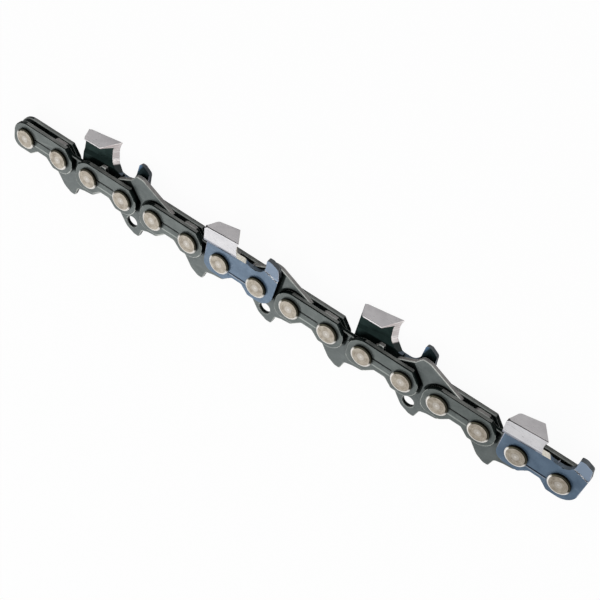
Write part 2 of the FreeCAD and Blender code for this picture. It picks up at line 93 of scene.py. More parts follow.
def link_middle(body):
    """Halfway between a link's two rivets. A drive link sits between two outer links' rivets."""
    own = [rivet_place[n] for n in bodies[body] if n in rivet_place]
    if not own:
        number = int(body.split("_")[-1])
        own = [rivet_place[f"rivet_{2 * number}"], rivet_place[f"rivet_{2 * number + 1}"]]
    return sum(own) / len(own)


middles = {body: link_middle(body) for body in bodies}
steps = [rivet_place[RIVETS[i + 1]][0] - rivet_place[RIVETS[i]][0] for i in (0, 1)]
print("rivets every", [round(step / MM, 2) for step in steps], "mm, in an outer link and between two")

# %% [markdown]
# A stamped edge is never knife sharp. The punch rolls one side over and tumbling rounds the rest,
# and that narrow round carries the line along each plate, which is painted as a highlight or as shade
# by the way it looks. The solids have sharp edges, so each plate becomes a merged copy whose flat
# triangles are joined into large faces, and a Bevel rounds what is left. The Bevel is baked, so that
# each face can then be given its finish, and its points are held inside the solid's own box, because
# a Bevel can throw a point out at a thin corner.

# %% Round the edges of a solid
MERGE = 0.0005 * MM
FLAT = math.radians(0.6)
SHARP = math.radians(28)
BEVEL_STEPS = 3


def merged_arrays(node):
    """Points and triangles of a CAD node, with the points that coincide made one."""
    mesh = nodes[node].data
    points = np.empty(len(mesh.vertices) * 3)
    mesh.vertices.foreach_get("co", points)
    corners = np.empty(len(mesh.loops), int)
    mesh.loops.foreach_get("vertex_index", corners)
    keys = np.round(points.reshape(-1, 3) / MERGE).astype(int)
    _, first, index = np.unique(keys, axis=0, return_index=True, return_inverse=True)
    triangles = index.ravel()[corners].reshape(-1, 3)
    whole = (triangles != np.roll(triangles, 1, axis=1)).all(axis=1)
    return points.reshape(-1, 3)[first], triangles[whole]


def show(name, mesh, body):
    """Put a mesh into the scene as a piece that rides on a body."""
    piece = bpy.data.objects.new(name, mesh)
    bpy.context.scene.collection.objects.link(piece)
    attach(piece, body)
    return piece


def rounded_copy(node, name, radius, measure):
    """A copy of a CAD node with its sharp edges rounded, which stands for the node.

    measure is how the Bevel lays out the radius. OFFSET sets the new edges that far from the old one.
    ABSOLUTE goes that far along the neighbouring edges, which stays tame where a cutter's folds meet.
    """
    points, triangles = merged_arrays(node)
    mesh = bpy.data.meshes.new(name)
    mesh.from_pydata(points.tolist(), [], triangles.tolist())
    shape = bmesh.new()
    shape.from_mesh(mesh)
    bmesh.ops.dissolve_limit(shape, angle_limit=FLAT, verts=shape.verts, edges=shape.edges)
    shape.to_mesh(mesh)
    shape.free()
    piece = show(name, mesh, body_of[node])
    bevel = piece.modifiers.new("rolled edges", "BEVEL")
    bevel.width = radius
    bevel.offset_type = measure
    bevel.segments = BEVEL_STEPS
    bevel.limit_method = "ANGLE"
    bevel.angle_limit = SHARP
    bevel.use_clamp_overlap = False
    bevel.harden_normals = True
    graph = bpy.context.evaluated_depsgraph_get()
    baked = bpy.data.meshes.new_from_object(
        piece.evaluated_get(graph), preserve_all_data_layers=True, depsgraph=graph
    )
    rounded = np.empty(len(baked.vertices) * 3)
    baked.vertices.foreach_get("co", rounded)
    kept = np.clip(rounded.reshape(-1, 3), points.min(axis=0), points.max(axis=0))
    baked.vertices.foreach_set("co", kept.ravel())
    piece.modifiers.clear()
    piece.data = baked
    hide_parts(node)
    return piece


print("edges sharper than", round(math.degrees(SHARP)), "degrees get rounded")


# %% Read and mark the faces of a piece
def face_arrays(piece, side):
    """Centres in millimetres and normals of a piece's faces, in its link's own frame.

    side is -1 for a far plate, whose z is turned round, so that z always points outwards.
    """
    mesh = piece.data
    centres = np.empty(len(mesh.polygons) * 3)
    normals = np.empty(len(mesh.polygons) * 3)
    mesh.polygons.foreach_get("center", centres)
    mesh.polygons.foreach_get("normal", normals)
    outward = np.array([1, 1, side])
    centres = (centres.reshape(-1, 3) - middles[piece["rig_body"]]) / MM * outward
    return centres, normals.reshape(-1, 3) * outward


def keep_own_place(piece, side):
    """Store each point's place in its link's own frame, in millimetres, for the materials to read."""
    mesh = piece.data
    points = np.empty(len(mesh.vertices) * 3)
    mesh.vertices.foreach_get("co", points)
    own = (points.reshape(-1, 3) - middles[piece["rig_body"]]) / MM * np.array([1, 1, side])
    attribute = mesh.attributes.new("own_place", "FLOAT_VECTOR", "POINT")
    attribute.data.foreach_set("vector", own.ravel().astype(np.float32))


def finish_faces(piece, materials, choice):
    """Give a piece its materials, one number per face."""
    piece.data.materials.clear()
    for material in materials:
        piece.data.materials.append(material)
    piece.data.polygons.foreach_set("material_index", choice.astype(np.int32))
    piece.data.update()


print("own frames ready for", len(middles), "links")

# %% [markdown]
# Materials are built from a few small effects that they share. Each is a node group, so that one
# grain or one scratch serves every steel with its own scale and strength. Colours are written as the
# three numbers seen on screen, 0 to 255, because that is how they are read off a photo. Places are in
# millimetres in the link's own frame, and a pair of them says where a mask starts and where it's full.

# %% Helpers for shader nodes
def linear(seen):
    """A colour as seen on screen, 0 to 255, turned into the linear values that a shader wants."""
    seen = np.array(seen) / 255
    values = np.where(seen <= 0.04045, seen / 12.92, ((seen + 0.055) / 1.055) ** 2.4)
    return (*values.tolist(), 1.0)


def connect(tree, value, socket):
    """Link another node's output to a socket, or set the socket to a value or to a seen colour."""
    if isinstance(value, bpy.types.NodeSocket):
        tree.links.new(value, socket)
    elif socket.type == "RGBA":
        socket.default_value = linear(value)
    else:
        socket.default_value = value


def add(tree, kind, settings=None, **inputs):
    """A node with its settings and inputs. An underscore in an input's name stands for a space."""
    made = tree.nodes.new(kind)
    for key, value in (settings or {}).items():
        setattr(made, key, value)
    for key, value in inputs.items():
        connect(tree, value, made.inputs[key.replace("_", " ")])
    return made


def mix(tree, factor, low, high):
    """The colour between low and high at factor."""
    made = tree.nodes.new("ShaderNodeMix")
    made.data_type = "RGBA"
    for index, value in ((0, factor), (6, low), (7, high)):
        connect(tree, value, made.inputs[index])
    return made.outputs[2]


def maths(tree, operation, *values):
    """One step of arithmetic."""
    made = tree.nodes.new("ShaderNodeMath")
    made.operation = operation
    for socket, value in zip(made.inputs, values):
        connect(tree, value, socket)
    return made.outputs[0]


def product(tree, first, *others):
    """All the values multiplied."""
    for value in others:
        first = maths(tree, "MULTIPLY", first, value)
    return first


def off(tree, value, middle):
    """How far a value lies from a middle, on either side."""
    return maths(tree, "ABSOLUTE", maths(tree, "SUBTRACT", value, middle))


def noise(tree, place, scale, detail, roughness=0.5):
    """Soft noise about 0.5 at a place."""
    made = add(tree, "ShaderNodeTexNoise", Vector=place, Scale=scale, Detail=detail, Roughness=roughness)
    return made.outputs[0]


def between(tree, value, start, end, low=0.0, high=1.0):
    """low up to start and high from end on, in a straight line between."""
    made = add(tree, "ShaderNodeMapRange", {"clamp": True}, Value=value)
    for name, number in (("From Min", start), ("From Max", end), ("To Min", low), ("To Max", high)):
        made.inputs[name].default_value = number
    return made.outputs[0]


print("a seen mid grey is", round(linear((128, 128, 128))[0], 3), "in linear light")


# %% Group: grain and mottle of worked steel
GRAIN_DEPTH = 0.03 * MM


def new_group(name, inputs, outputs):
    """An empty node group with named sockets, and its input and output nodes."""
    group = bpy.data.node_groups.new(name, "ShaderNodeTree")
    for socket, kind, value in inputs:
        made = group.interface.new_socket(name=socket, in_out="INPUT", socket_type=kind)
        if value is not None:
            made.default_value = value
    for socket, kind in outputs:
        group.interface.new_socket(name=socket, in_out="OUTPUT", socket_type=kind)
    return group, group.nodes.new("NodeGroupInput"), group.nodes.new("NodeGroupOutput")


def make_steel_skin():
    """Fine grain drawn out one way, broad mottling and a few pits, from the object's own place."""
    group, given, result = new_group(
        "steel skin",
        [("Grain Scale", "NodeSocketFloat", 4000.0), ("Mottle Scale", "NodeSocketFloat", 350.0),
         ("Stretch", "NodeSocketVector", (0.15, 1.0, 1.0)), ("Relief", "NodeSocketFloat", 0.2)],
        [("Grain", "NodeSocketFloat"), ("Mottle", "NodeSocketFloat"), ("Pits", "NodeSocketFloat"),
         ("Normal", "NodeSocketVector")])
    place = add(group, "ShaderNodeTexCoord").outputs["Object"]
    drawn = add(group, "ShaderNodeVectorMath", {"operation": "MULTIPLY"})
    group.links.new(place, drawn.inputs[0])
    group.links.new(given.outputs["Stretch"], drawn.inputs[1])
    grain = noise(group, drawn.outputs[0], given.outputs["Grain Scale"], 3.0)
    mottle = noise(group, place, given.outputs["Mottle Scale"], 5.0, 0.62)
    pits = between(group, noise(group, place, given.outputs["Grain Scale"], 1.0), 0.66, 0.74)
    height = maths(group, "SUBTRACT", grain, pits)
    relief = given.outputs["Relief"]
    bump = add(group, "ShaderNodeBump", Height=height, Strength=relief, Distance=GRAIN_DEPTH)
    group.links.new(grain, result.inputs["Grain"])
    group.links.new(between(group, mottle, 0.3, 0.7), result.inputs["Mottle"])
    group.links.new(pits, result.inputs["Pits"])
    group.links.new(bump.outputs[0], result.inputs["Normal"])
    return group


STEEL_SKIN = make_steel_skin()
print("shared group:", STEEL_SKIN.name)


# %% Group: scratches
SCRATCH_LAYERS = ((0.5, (0.12, 1.6, 1.0)), (-0.9, (0.2, 1.3, 1.0)))
SCRATCH_WIDTH = 0.014


def make_scratches():
    """Sparse fine scratches: the edges of two stretched and turned cell patterns, where a noise allows."""
    group, given, result = new_group(
        "scratches",
        [("Scale", "NodeSocketFloat", 220.0), ("Amount", "NodeSocketFloat", 0.5)],
        [("Mask", "NodeSocketFloat")])
    place = add(group, "ShaderNodeTexCoord").outputs["Object"]
    masks = []
    for turn, stretch in SCRATCH_LAYERS:
        turned = add(group, "ShaderNodeMapping", Vector=place, Rotation=(0.2, 0.1, turn), Scale=stretch)
        cells = add(group, "ShaderNodeTexVoronoi", {"feature": "DISTANCE_TO_EDGE"},
                    Vector=turned.outputs[0], Scale=given.outputs["Scale"])
        masks.append(between(group, cells.outputs["Distance"], 0.0, SCRATCH_WIDTH, 1.0, 0.0))
    allowed = between(group, noise(group, place, given.outputs["Scale"], 2.0), 0.55, 0.65)
    mask = product(group, maths(group, "MAXIMUM", *masks), allowed, given.outputs["Amount"])
    group.links.new(mask, result.inputs["Mask"])
    return group


SCRATCHES = make_scratches()
print("shared group:", SCRATCHES.name)

# %% [markdown]
# Every steel is one shader on a mottled ground. What lies on the steel, such as scratches, a painted
# shadow or the shade in a fold, is laid over that ground coat by coat, each through its own mask, as
# paint would be.

# %% Start a material and paint over it
def start_material(name, metallic):
    """A material with one shader. Returns it with its tree and the shader."""
    material = bpy.data.materials.new(name)
    material.use_nodes = True
    tree = material.node_tree
    tree.nodes.clear()
    shader = add(tree, "ShaderNodeBsdfPrincipled", Metallic=metallic)
    add(tree, "ShaderNodeOutputMaterial", Surface=shader.outputs[0])
    return material, tree, shader


def shader_of(material):
    """The one shader of a material."""
    return next(node for node in material.node_tree.nodes if node.type == "BSDF_PRINCIPLED")


def place_group(tree, group, **inputs):
    """A node that uses a shared group, with some of its inputs set."""
    made = tree.nodes.new("ShaderNodeGroup")
    made.node_tree = group
    for key, value in inputs.items():
        made.inputs[key.replace("_", " ")].default_value = value
    return made


def own_place(tree):
    """A point's place in its link's own frame in millimetres, whole and as its parts."""
    own = add(tree, "ShaderNodeAttribute", {"attribute_name": "own_place"}).outputs["Vector"]
    return own, add(tree, "ShaderNodeSeparateXYZ", Vector=own).outputs


def paint_over(material, mask, colour):
    """Lay a colour over what a material has so far, where the mask is one."""
    tree = material.node_tree
    target = shader_of(material).inputs["Base Color"]
    tree.links.new(mix(tree, mask, target.links[0].from_socket, colour), target)


def paint_black(material, mask, colour):
    """Lay a black over a material and take away its sheen.

    A metal mirrors in its own colour, so a fully metallic black stays black where a lacquer would
    still carry a grey sheen.
    """
    paint_over(material, mask, colour)
    tree = material.node_tree
    metallic = shader_of(material).inputs["Metallic"]
    tree.links.new(between(tree, mask, 0.0, 1.0, metallic.default_value, 1.0), metallic)


# %% Plain worked steel
PIT_SHARE = 0.5
GRAIN_SWING = 0.07
ALONG = (0.2, 1.0, 1.0)
THROUGH = (1.0, 1.0, 0.12)


def plain_steel(name, dark, light, scratch, roughness, metallic, relief=0.25, stretch=ALONG, worn=0.5):
    """Worked steel: mottled between two colours, with fine grain and pale scratches.

    stretch draws the grain out along the plate, as rolling does, or through it, as a punch does.
    """
    material, tree, shader = start_material(name, metallic)
    skin = place_group(tree, STEEL_SKIN, Relief=relief, Stretch=stretch)
    lines = place_group(tree, SCRATCHES, Amount=worn)
    base = mix(tree, skin.outputs["Mottle"], dark, light)
    tree.links.new(base, shader.inputs["Base Color"])
    paint_over(material, product(tree, skin.outputs["Pits"], PIT_SHARE), dark)
    paint_over(material, lines.outputs["Mask"], scratch)
    swing = between(tree, skin.outputs["Grain"], 0.3, 0.7, roughness - GRAIN_SWING, roughness + GRAIN_SWING)
    tree.links.new(swing, shader.inputs["Roughness"])
    tree.links.new(skin.outputs["Normal"], shader.inputs["Normal"])
    return material


# %% [markdown]
# A shallow groove is pressed into the outer face of every strap and cutter, below or along the rivet
# line. It stiffens the thin plate and holds oil. The solids have it, but its lips are too fine to be
# seen well at this distance, so the shade on one lip and the shine on the other are drawn as lines.

# %% Group: the pressed groove
CREASE_REAR, CREASE_FRONT = (-2.75, -2.3), (2.4, 1.9)
OUTER_SIDE = (1.3, 1.4)
LIP_HALF_WIDTHS = (("Dark", 0.34), ("Light", 0.2))


def make_crease():
    """Two lines along a pressed groove: the shaded upper lip and the shining lower one.

    They lie by a point's place in its link, only on the outer side, and fade out at their ends.
    """
    group, given, result = new_group(
        "crease",
        [("Dark Height", "NodeSocketFloat", 0.62), ("Light Height", "NodeSocketFloat", -0.85)],
        [("Dark", "NodeSocketFloat"), ("Light", "NodeSocketFloat")])
    _, (x, y, z) = own_place(group)
    within = product(group, between(group, x, *CREASE_REAR), between(group, x, *CREASE_FRONT),
                     between(group, z, *OUTER_SIDE))
    for name, half in LIP_HALF_WIDTHS:
        aside = off(group, y, given.outputs[name + " Height"])
        line = product(group, between(group, aside, half, half / 2), within)
        group.links.new(line, result.inputs[name])
    return group


CREASE = make_crease()
print("shared group:", CREASE.name)


def creased_steel(name, dark, light, scratch, roughness, metallic, lips, heights, **more):
    """Plain steel with the two lines of the pressed groove drawn over its colour."""
    material = plain_steel(name, dark, light, scratch, roughness, metallic, **more)
    crease = place_group(material.node_tree, CREASE, Dark_Height=heights[0], Light_Height=heights[1])
    paint_black(material, crease.outputs["Dark"], lips[0])
    paint_over(material, crease.outputs["Light"], lips[1])
    return material


# %% [markdown]
# The straps and drive links are hardened and blackened, and a film of oil turns their rolled faces
# grey-green. The inner faces and most walls are painted black as shade, where they turn away from the
# light. The upper walls of the straps are browner, and the ramps of the bumper links are palest.
# Rounded edges that look down are painted bright as highlights, the straps' upper outer edges and
# front edges are painted dark as shade, and the rest lie in between.

# %% Finishes of straps and drive links
strap_face = creased_steel("oxide face", (78, 86, 84), (98, 105, 103), (140, 146, 143), 0.38, 0.3,
                           lips=((14, 19, 18), (146, 152, 148)), heights=(0.76, -0.85), worn=0.3)
oxide_wall = plain_steel("oxide wall", (84, 87, 85), (114, 115, 112), (146, 146, 143), 0.45, 0.3,
                         relief=0.5, stretch=THROUGH)
ramp_wall = plain_steel("ramp wall", (106, 104, 103), (136, 133, 131), (160, 158, 156), 0.42, 0.3,
                        relief=0.5, stretch=THROUGH)
# Painted light: black_wall and black_inside are painted shade, pale_edge is a painted highlight, dark_edge
# is painted shade, and middle_edge lies between.
black_wall = plain_steel("black wall", (16, 24, 23), (38, 46, 44), (110, 116, 114), 0.4, 1.0,
                         relief=0.5, stretch=(1.0, 1.0, 0.2), worn=0.3)
pale_edge = plain_steel("highlit edge", (168, 172, 168), (206, 208, 202), (224, 224, 220), 0.25, 0.5)
middle_edge = plain_steel("half highlit edge", (112, 117, 114), (146, 150, 147), (176, 180, 176), 0.3, 0.4)
dark_edge = plain_steel("dark edge", (16, 22, 21), (32, 39, 37), (80, 86, 84), 0.4, 1.0, worn=0.2)
black_inside = plain_steel("black inside", (28, 40, 39), (42, 56, 54), (70, 82, 80), 0.5, 1.0, worn=0.1)
print(len(bpy.data.materials), "finishes for flat stampings")

# %% [markdown]
# The ends of the outer links cast a shadow on the drive link they lie on, painted as a black line
# beside them. The line is drawn on the drive link by its distance from the round rear end of
# one outer link and from the leaning front end of the other. A cutter's front stands steeper than a
# strap's, so the drive link ahead of the near cutter has a line of its own. The face is also
# painted a little darker towards the top.

# %% Painted shadow beside the ends of the outer links
HALF_DRIVE = 4.395
REAR_ROUND = 3.8
REAR_LINE = (0.6, 0.42)
STRAP_LEAN = (-0.645, 1.05, 0.779, 0.627)
STRAP_TOE = (-0.645, -0.25, 3.7)
CUTTER_LEAN = (-0.475, -3.95, 1.0, -0.075)
STRAP_LINE, CUTTER_LINE = 0.62, 1.1
LINE_FADE = 0.2
ABOVE_REAR, ABOVE_FRONT = (0.1, 0.6), (-2.6, -1.4)
# The drive link's face is painted a little darker towards the top.
DARKER_UPWARD = (1.0, 4.0, 0.0, 0.12)
SHADOW_BLACK = (16, 22, 21)


def distance(tree, along, up):
    """The length of a step along and up."""
    return maths(tree, "SQRT", maths(tree, "MULTIPLY_ADD", along, along, product(tree, up, up)))


def beyond_lean(tree, x, y, lean, toe):
    """How far a point lies ahead of an outer link's front end.

    lean is a point on the straight part of that end and the direction it looks in. toe is the foot
    of the straight part and the radius of the round below it.
    """
    ahead = product(tree, maths(tree, "SUBTRACT", x, lean[0]), lean[2])
    front = maths(tree, "MULTIPLY_ADD", maths(tree, "SUBTRACT", y, lean[1]), lean[3], ahead)
    if toe:
        below = maths(tree, "MINIMUM", maths(tree, "SUBTRACT", y, toe[1]), 0.0)
        from_centre = distance(tree, maths(tree, "SUBTRACT", x, toe[0] - toe[2]), below)
        front = maths(tree, "MAXIMUM", front, maths(tree, "SUBTRACT", from_centre, toe[2]))
    return front


def shadowed_face(name, lean, width, toe=None):
    """A drive link's face with a painted shadow: a black line beside the ends of the outer links that lie
    on it, and the face a little darker towards the top.
    """
    material = plain_steel(name, (80, 88, 87), (98, 105, 104), (136, 142, 139), 0.4, 0.3, worn=0.3)
    tree = material.node_tree
    own, (x, y, _) = own_place(tree)
    from_rivet = distance(tree, maths(tree, "SUBTRACT", x, HALF_DRIVE), y)
    behind = maths(tree, "SUBTRACT", from_rivet, REAR_ROUND)
    rear_line = product(tree, between(tree, behind, *REAR_LINE), between(tree, y, *ABOVE_REAR))
    front = beyond_lean(tree, x, y, lean, toe)
    near_front = between(tree, front, width, width - LINE_FADE)
    front_line = product(tree, near_front, between(tree, y, *ABOVE_FRONT))
    either = maths(tree, "MAXIMUM", rear_line, front_line)
    blotched = product(tree, either, between(tree, noise(tree, own, 1.6, 2.0), 0.25, 0.4, 0.6, 1.0))
    # Painted shadow: the black line beside the outer links' ends, and the face darker towards the top.
    paint_black(material, maths(tree, "MAXIMUM", blotched, between(tree, y, *DARKER_UPWARD)), SHADOW_BLACK)
    return material


drive_face = shadowed_face("drive face", STRAP_LEAN, STRAP_LINE, STRAP_TOE)
drive_face_by_cutter = shadowed_face("drive face by a cutter", CUTTER_LEAN, CUTTER_LINE)
print("painted shadow lines", STRAP_LINE, "mm wide ahead of a strap and", CUTTER_LINE, "mm ahead of the near cutter")

# %% [markdown]
# A cutter shows more finishes. The side plate is blued. Above its second bend the outer wall is
# plated and nearly white, with a strip of painted shade along the bend. The top plate is plated too,
# but it mirrors a duller part of the room, so it is painted lilac grey as a painted reflection, and a
# dark line of painted shade runs where the two meet. The inside and the walls that look ahead are
# painted black as shade, rounded edges get a painted highlight, except those that look up and out,
# which are painted dark, and the ground face is bright with fine lines from the stone.

# %% Finishes of the cutters
blue_plate = creased_steel("blued plate", (76, 98, 120), (96, 118, 140), (140, 154, 172), 0.36, 0.3,
                           lips=((26, 34, 46), (140, 152, 166)), heights=(-1.03, -1.5), worn=0.3)
blue_wall = plain_steel("blued wall", (60, 72, 84), (92, 104, 116), (140, 148, 158), 0.42, 0.3,
                        relief=0.5, stretch=THROUGH)
gauge_wall = plain_steel("gauge wall", (44, 50, 54), (92, 96, 100), (170, 172, 176), 0.36, 0.6,
                         relief=0.4, stretch=(1.0, 1.0, 0.2))
# Painted light: cutter_edge is a painted highlight on rounded edges, and plated_top's lilac grey is a
# painted reflection.
cutter_edge = plain_steel("cutter edge", (172, 176, 196), (212, 214, 226), (226, 226, 232), 0.25, 0.5)
plated_top = plain_steel("plated top", (181, 178, 180), (197, 194, 195), (218, 215, 216), 0.33, 0.35,
                         relief=0.15, worn=0.35)
plated_edge = plain_steel("plated edge", (186, 182, 184), (212, 208, 210), (228, 225, 226), 0.3, 0.4)
# Painted shade: fold_line is the dark line along the top fold.
fold_line = plain_steel("fold line", (52, 49, 50), (84, 80, 80), (120, 116, 116), 0.4, 0.3)
print("so far", len(bpy.data.materials), "finishes")

# %% [markdown]
# The plating's tones follow the folds. The top plate falls to the rear by its relief angle, and the
# second bend of the side plate falls the same way, so both lines are given as a height and a slope.
# Just under the top fold the wall turns away from the light, which is painted as shade, and along the
# bend the plating is painted grey as shade, with a dark line of painted shade in its middle part.

# %% Plated wall
CORNER = np.array([-0.3, 10.22, 3.48])
TOP_SLOPE = math.tan(math.radians(7.8))
RIDGE_HEIGHT = CORNER[1] - CORNER[0] * TOP_SLOPE
SHOULDER_HEIGHT = 5.68
SHOULDER_SLOPE = 0.117
RIDGE_SHADE = (0.2, 0.1)
GREY_STRIP, DARK_STRIP = (0.62, 0.5), (0.3, 0.22)
BEND_LINE_REAR, BEND_LINE_FRONT = (-5.6, -5.2), (-1.8, -2.1)


def make_plated_wall():
    """Nearly white plating, with painted shade under the top fold and a grey strip and dark line of painted
    shade at the bend.
    """
    material = plain_steel("plated wall", (211, 210, 213), (226, 225, 227), (196, 196, 202), 0.32, 0.3,
                           relief=0.08, worn=0.2)
    tree = material.node_tree
    _, (x, y, _) = own_place(tree)
    above = maths(tree, "SUBTRACT", y, maths(tree, "MULTIPLY_ADD", x, SHOULDER_SLOPE, SHOULDER_HEIGHT))
    level = maths(tree, "MULTIPLY_ADD", x, -TOP_SLOPE, y)
    under_ridge = between(tree, level, *(RIDGE_HEIGHT - depth for depth in RIDGE_SHADE))
    # Painted shade under the top fold.
    paint_over(material, under_ridge, (96, 92, 94))
    # Painted shade: a grey strip along the bend and a dark line in its middle part.
    paint_over(material, between(tree, above, *GREY_STRIP), (154, 157, 168))
    line = product(tree, between(tree, above, *DARK_STRIP), between(tree, x, *BEND_LINE_REAR),
                   between(tree, x, *BEND_LINE_FRONT))
    paint_over(material, line, (50, 56, 68))
    return material


plated_wall = make_plated_wall()
print("top fold at", round(float(RIDGE_HEIGHT), 2), "mm over the link's middle")

# %% [markdown]
# The depth gauge leans out at a crease, so its outer face catches more light than the plate below,
# and that light is painted on it. Bright and dark crumbs are painted along the crease, the bright ones
# as glints on the bend. The inner face of the gauge is black, apart from a blue patch at its upper rear
# corner.

# %% Depth gauge
GAUGE_CREASE_HEIGHT = 7.71
GAUGE_CREASE_SLOPE = 0.338
GAUGE_REAR = (5.0, 5.2)
CREASE_HALF_WIDTHS = (0.04, 0.3)
BLUE_PATCH = (3.1, 2.3)
BLUE_PATCH_SLOPE = 0.45


def mark_gauge_tip(material):
    """Paint light on the depth gauge's outer face and crumbs along the crease at its foot, the bright ones
    painted glints.
    """
    tree = material.node_tree
    own, (x, y, _) = own_place(tree)
    level = maths(tree, "MULTIPLY_ADD", x, GAUGE_CREASE_SLOPE, y)
    above = maths(tree, "SUBTRACT", level, GAUGE_CREASE_HEIGHT)
    in_front = between(tree, x, *GAUGE_REAR)
    # Painted light on the gauge's outer face.
    paint_over(material, product(tree, between(tree, above, 0.0, 0.2), in_front), (128, 146, 168))
    half_width = between(tree, noise(tree, own, 4.5, 1.0), 0.35, 0.65, *CREASE_HALF_WIDTHS)
    past_edge = maths(tree, "SUBTRACT", maths(tree, "ABSOLUTE", above), half_width)
    grains = between(tree, noise(tree, own, 2.6, 1.0), 0.47, 0.56)
    # Painted glints: the bright crumbs along the crease.
    crumbs = mix(tree, grains, (34, 40, 48), (205, 206, 210))
    paint_over(material, product(tree, between(tree, past_edge, 0.06, 0.0), in_front), crumbs)


def make_gauge_inside():
    """The inner face of a depth gauge: blue at its upper rear corner and black below."""
    material = plain_steel("gauge inside", (16, 24, 26), (28, 40, 42), (50, 58, 60), 0.45, 1.0, worn=0.1)
    tree = material.node_tree
    _, (x, y, _) = own_place(tree)
    towards_front = maths(tree, "MULTIPLY_ADD", y, -BLUE_PATCH_SLOPE, x)
    paint_over(material, between(tree, towards_front, *BLUE_PATCH), (86, 112, 140))
    return material


mark_gauge_tip(blue_plate)
gauge_inside = make_gauge_inside()
print("crease under the gauges at", GAUGE_CREASE_HEIGHT, "mm, falling", GAUGE_CREASE_SLOPE, "mm per mm")

# %% [markdown]
# The front of a cutter is ground to an edge. The stone leaves fine parallel lines, and it cuts
# through plating and bluing to the bright steel. Below the foot of that face the steel is blued or
# black again. The near cutters and the far ones are ground from opposite sides.

# %% Ground face
STONE_DEPTH = 0.02 * MM
NEAR_FOOT, FAR_FOOT = 4.6, 5.15
FOOT_FADE = 0.15


def make_ground_steel(name, foot_height, below, dull, bright):
    """Bright ground steel with fine parallel lines left by the stone, and another colour below its foot."""
    material, tree, shader = start_material(name, 0.2)
    own, (_, y, _) = own_place(tree)
    drawn = add(tree, "ShaderNodeMapping", Vector=own, Scale=(0.2, 7.0, 0.2)).outputs[0]
    lines = noise(tree, drawn, 1.0, 4.0)
    tree.links.new(mix(tree, between(tree, lines, 0.35, 0.65), dull, bright), shader.inputs["Base Color"])
    paint_over(material, between(tree, y, foot_height, foot_height - FOOT_FADE), below)
    tree.links.new(between(tree, lines, 0.3, 0.7, 0.42, 0.28), shader.inputs["Roughness"])
    bump = add(tree, "ShaderNodeBump", Height=lines, Strength=0.2, Distance=STONE_DEPTH)
    tree.links.new(bump.outputs[0], shader.inputs["Normal"])
    return material


near_ground = make_ground_steel("near ground face", NEAR_FOOT, below=(74, 92, 112),
                                dull=(226, 219, 204), bright=(255, 252, 242))
# Painted shade: the far ground face is black below its foot, like the cutter's inside.
far_ground = make_ground_steel("far ground face", FAR_FOOT, below=(20, 30, 30),
                               dull=(206, 190, 190), bright=(255, 252, 250))
print("ground faces end", NEAR_FOOT, "and", FAR_FOOT, "mm over the rivet line")

# %% [markdown]
# The straps and the drive links are flat stampings, so a face's direction says what it is: a rolled
# face looks along the rivets, a sheared wall looks sideways, and what lies between is rounded edge.
# The pressed groove has slanting faces too, but it keeps the finish of the face around it.

# %% Dress the straps and drive links
EDGE_RADIUS = 0.2 * MM
GROOVE_HALF = (2.7, 1.0)
RAMP_START = 3.3
ROLLED, SHEARED = 0.97, 0.25
GROOVE_TILT, RAMP_TILT = 0.5, 0.3
FRONT_WALL, REAR_WALL = 0.6, -0.12
UPPER_EDGE, FRONT_EDGE, LOWER_EDGE = 0.15, 0.5, -0.1
FLAT_FINISHES = [strap_face, oxide_wall, black_wall, pale_edge, dark_edge, middle_edge, black_inside,
                 ramp_wall]
(FACE, UPPER_WALL, BLACK_WALL, PALE_EDGE, DARK_EDGE, MIDDLE_EDGE, INNER_FACE,
 RAMP_WALL) = range(len(FLAT_FINISHES))


def flat_finish(centres, normals, is_strap):
    """The finish of each face of a flat stamping, by where it looks.

    forward, up and outward are the parts of a face's normal, so each lies between -1 and 1.
    """
    x, y, _ = centres.T
    forward, up, outward = normals.T
    across = np.abs(outward)
    groove = (np.abs(x) < GROOVE_HALF[0]) & (np.abs(y) < GROOVE_HALF[1]) & (across > GROOVE_TILT)
    on_ramp = (y > RAMP_START) & (up > RAMP_TILT)
    if is_strap:
        # Painted shade: a strap's walls that look ahead or back are black.
        wall = np.where((forward > FRONT_WALL) | (forward < REAR_WALL), BLACK_WALL, UPPER_WALL)
        # Painted shade: upper outer edges and front edges are dark.
        edge = np.where((up > UPPER_EDGE) & (outward > 0), DARK_EDGE, MIDDLE_EDGE)
        edge = np.where(forward > FRONT_EDGE, DARK_EDGE, edge)
    else:
        # Painted shade: a drive link's walls are black except on the ramp, whose edges get a painted
        # highlight.
        wall = np.where(on_ramp, RAMP_WALL, BLACK_WALL)
        edge = np.where(on_ramp, PALE_EDGE, MIDDLE_EDGE)
    # Painted highlight: every rounded edge that looks down is pale.
    edge = np.where(up < LOWER_EDGE, PALE_EDGE, edge)
    choice = np.where((across > ROLLED) | groove, FACE, np.where(across < SHEARED, wall, edge))
    # Painted shade: a strap's inner face is black.
    return np.where((outward < -ROLLED) & is_strap, INNER_FACE, choice)


for node in sorted(nodes):
    if "strap" in node or "link" in node:
        side = -1 if node.startswith("far") else 1
        is_strap = "strap" in node
        piece = rounded_copy(node, node + "_plate", EDGE_RADIUS, "OFFSET")
        keep_own_place(piece, side)
        finishes = list(FLAT_FINISHES)
        if not is_strap:
            finishes[FACE] = drive_face_by_cutter if node == "bumper_link_4" else drive_face
        finish_faces(piece, finishes, flat_finish(*face_arrays(piece, side), is_strap))
flat = [sum(word in node for node in nodes) for word in ("strap", "link")]
print(flat[0], "straps and", flat[1], "drive links dressed")

# %% [markdown]
# A cutter is one bent stamping, and its finishes follow its folds, so each face is sorted by its
# place and direction in the link's own frame. Later lines overrule earlier ones: first the flat
# lower plate, then what stands above the first bend, then the ground face and the top, and the
# depth gauge last.

